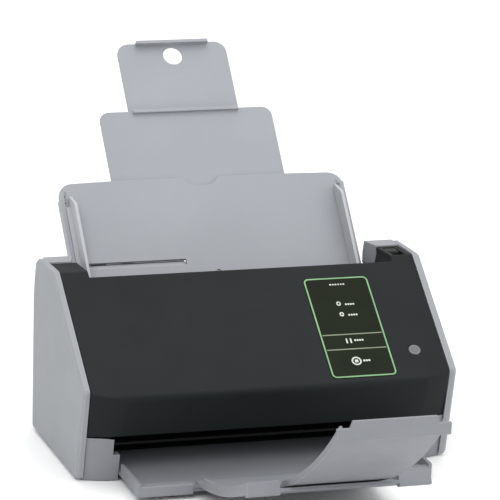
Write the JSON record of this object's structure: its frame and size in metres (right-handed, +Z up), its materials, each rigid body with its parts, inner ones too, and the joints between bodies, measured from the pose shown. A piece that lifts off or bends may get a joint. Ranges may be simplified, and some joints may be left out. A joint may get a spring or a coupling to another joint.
{
  "type": "sheet fed document scanner",
  "caption": "Desktop sheet fed document scanner with a hinged front unit, sloping touch panel, paper chute with sliding guides and extension, and a curved telescoping stacker.",
  "frame": {"origin": "under the middle of the whole part's box, on the surface it stands on", "axes": "+X to the operator's right, +Y to the back, away from the operator, +Z up; the stacker and the chute extension make Y the longest side"},
  "size_m": [0.298, 0.5534, 0.2735],
  "materials": {
    "casing": "light grey moulded plastic with a fine spark-eroded texture",
    "guide_plastic": "pale grey moulded plastic",
    "stacker_plastic": "mid grey moulded plastic, fine texture",
    "dark_cover": "charcoal moulded plastic, fine texture",
    "inner_plastic": "dark moulded plastic, worn smooth where paper slides",
    "sensor_body": "black glass-filled plastic",
    "sensor_glass": "clear float glass",
    "screen": "gloss black touch panel with a lit outline",
    "lcd": "metal framed display module",
    "board": "green solder resist",
    "steel": "zinc plated and ground steel",
    "port_metal": "plated port shells",
    "inlet_plastic": "black moulded plastic",
    "rubber": "matt rubber",
    "pulley_plastic": "natural acetal",
    "bush": "sintered bronze",
    "button": "grey satin key with a moulded power mark"
  },
  "bodies": {
    "base": {"base_frame": "inner_plastic", "left_side_cover": "casing", "right_side_cover": "casing", "rear_cover": "casing", "left_corner_block": "stacker_plastic", "right_corner_block": "stacker_plastic", "left_side_frame": "steel", "right_side_frame": "steel", "rear_guide": "inner_plastic", "exit_guide": "inner_plastic", "rear_sensor": "sensor_body", "rear_sensor_glass": "sensor_glass", "drive_belt": "rubber", "motor": "steel", "main_board": "board", "power_inlet": "inlet_plastic", "usb_port": "port_metal", "lan_port": "port_metal", "rubber_feet": "rubber", "shaft_bushes": "bush", "case_screws": "steel", "hinge_pins": "steel", "latch_keepers": "steel", "chute_plate": "casing"},
    "front_unit": {"front_cover": "dark_cover", "front_side_plates": "steel", "front_guide": "inner_plastic", "front_sensor": "sensor_body", "front_sensor_glass": "sensor_glass", "screen_glass": "screen", "display_module": "lcd", "panel_board": "board"},
    "lever": {"release_lever": "dark_cover", "latch_shaft": "steel"},
    "power_key": {"power_button": "button"},
    "pick_roller": {"pick_shaft": "steel", "pick_tyres": "rubber", "pick_pulley": "pulley_plastic"},
    "feed_roller": {"feed_shaft": "steel", "feed_tyres": "rubber", "feed_pulley": "pulley_plastic"},
    "exit_roller": {"exit_shaft": "steel", "exit_tyres": "rubber", "exit_pulley": "pulley_plastic"},
    "motor_rotor": {"motor_pulley": "pulley_plastic"},
    "brake_roller": {"brake_shaft": "steel", "brake_tyre": "rubber"},
    "feed_pinch_roller": {"feed_pinch_shaft": "steel", "feed_pinch_tyres": "pulley_plastic"},
    "exit_pinch_roller": {"exit_pinch_shaft": "steel", "exit_pinch_tyres": "pulley_plastic"},
    "guide_left": {"left_guide": "guide_plastic"},
    "guide_right": {"right_guide": "guide_plastic"},
    "pinion": {"guide_pinion": "pulley_plastic"},
    "chute_ext_1": {"chute_extension_1": "casing"},
    "chute_ext_2": {"chute_extension_2": "casing"},
    "stacker_1": {"stacker_stage_1": "stacker_plastic"},
    "stacker_2": {"stacker_stage_2": "stacker_plastic"},
    "stacker_3": {"stacker_stage_3": "stacker_plastic"}
  },
  "joints": [
    {"name": "front_unit_hinge", "type": "hinge", "parent": "base", "child": "front_unit", "pos_m": [0, -0.00323, 0.042], "axis": [1, 0, 0], "range_deg": [0, 50]},
    {"name": "release_lever_pull", "type": "hinge", "parent": "front_unit", "child": "lever", "pos_m": [0, 0.06916, 0.09155], "axis": [1, 0, 0], "range_deg": [0, 14], "stiffness_Nm_per_rad": 0.4, "springref_deg": -8.59},
    {"name": "power_button_press", "type": "slide", "parent": "front_unit", "child": "power_key", "axis": [0, 0.5707, -0.8211], "range_m": [0, 0.001], "stiffness_N_per_m": 600, "springref_m": -0.0005},
    {"name": "feed_roller_spin", "type": "hinge", "parent": "base", "child": "feed_roller", "pos_m": [0, 0.07926, 0.06129], "axis": [1, 0, 0], "continuous": true},
    {"name": "pick_roller_spin", "type": "hinge", "parent": "base", "child": "pick_roller", "pos_m": [0, 0.10625, 0.08392], "axis": [1, 0, 0], "continuous": true},
    {"name": "exit_roller_spin", "type": "hinge", "parent": "base", "child": "exit_roller", "pos_m": [0, 0.05654, 0.03735], "axis": [1, 0, 0], "continuous": true},
    {"name": "motor_spin", "type": "hinge", "parent": "base", "child": "motor_rotor", "pos_m": [0, 0.10277, 0.028], "axis": [1, 0, 0], "continuous": true},
    {"name": "brake_roller_spin", "type": "hinge", "parent": "front_unit", "child": "brake_roller", "pos_m": [0, 0.0908, 0.09858], "axis": [1, 0, 0], "continuous": true},
    {"name": "feed_pinch_spin", "type": "hinge", "parent": "front_unit", "child": "feed_pinch_roller", "pos_m": [0, 0.06888, 0.07113], "axis": [1, 0, 0], "continuous": true},
    {"name": "exit_pinch_spin", "type": "hinge", "parent": "front_unit", "child": "exit_pinch_roller", "pos_m": [0, 0.04617, 0.04719], "axis": [1, 0, 0], "continuous": true},
    {"name": "left_guide_slide", "type": "slide", "parent": "base", "child": "guide_left", "axis": [1, 0, 0], "range_m": [0, 0.083]},
    {"name": "right_guide_slide", "type": "slide", "parent": "base", "child": "guide_right", "axis": [1, 0, 0], "range_m": [-0.083, 0]},
    {"name": "guide_pinion_spin", "type": "hinge", "parent": "base", "child": "pinion", "pos_m": [0, 0.12497, 0.1213], "axis": [0, -0.7254, 0.6884], "range_deg": [-636, 0]},
    {"name": "chute_extension_1_slide", "type": "slide", "parent": "base", "child": "chute_ext_1", "axis": [0, 0.6884, 0.7254], "range_m": [-0.06, 0]},
    {"name": "chute_extension_2_slide", "type": "slide", "parent": "chute_ext_1", "child": "chute_ext_2", "axis": [0, 0.6884, 0.7254], "range_m": [-0.06, 0]},
    {"name": "stacker_stage_1_slide", "type": "slide", "parent": "base", "child": "stacker_1", "axis": [0, 1, 0], "range_m": [0, 0.04]},
    {"name": "stacker_stage_2_slide", "type": "hinge", "parent": "stacker_1", "child": "stacker_2", "pos_m": [0, -0.01403, 0.3715], "axis": [1, 0, 0], "range_deg": [0, 17]},
    {"name": "stacker_stage_3_slide", "type": "hinge", "parent": "stacker_2", "child": "stacker_3", "pos_m": [0, -0.01403, 0.3715], "axis": [1, 0, 0], "range_deg": [0, 18]}
  ],
  "couplings": [
    {"joint": "pick_roller_spin", "follows": "feed_roller_spin", "ratio": 0.6},
    {"joint": "exit_roller_spin", "follows": "feed_roller_spin", "ratio": 1},
    {"joint": "motor_spin", "follows": "feed_roller_spin", "ratio": 1},
    {"joint": "feed_pinch_spin", "follows": "feed_roller_spin", "ratio": -1.3333},
    {"joint": "exit_pinch_spin", "follows": "feed_roller_spin", "ratio": -1.3333},
    {"joint": "right_guide_slide", "follows": "left_guide_slide", "ratio": -1},
    {"joint": "guide_pinion_spin", "follows": "left_guide_slide", "rad_per_m": -133.33}
  ]
}
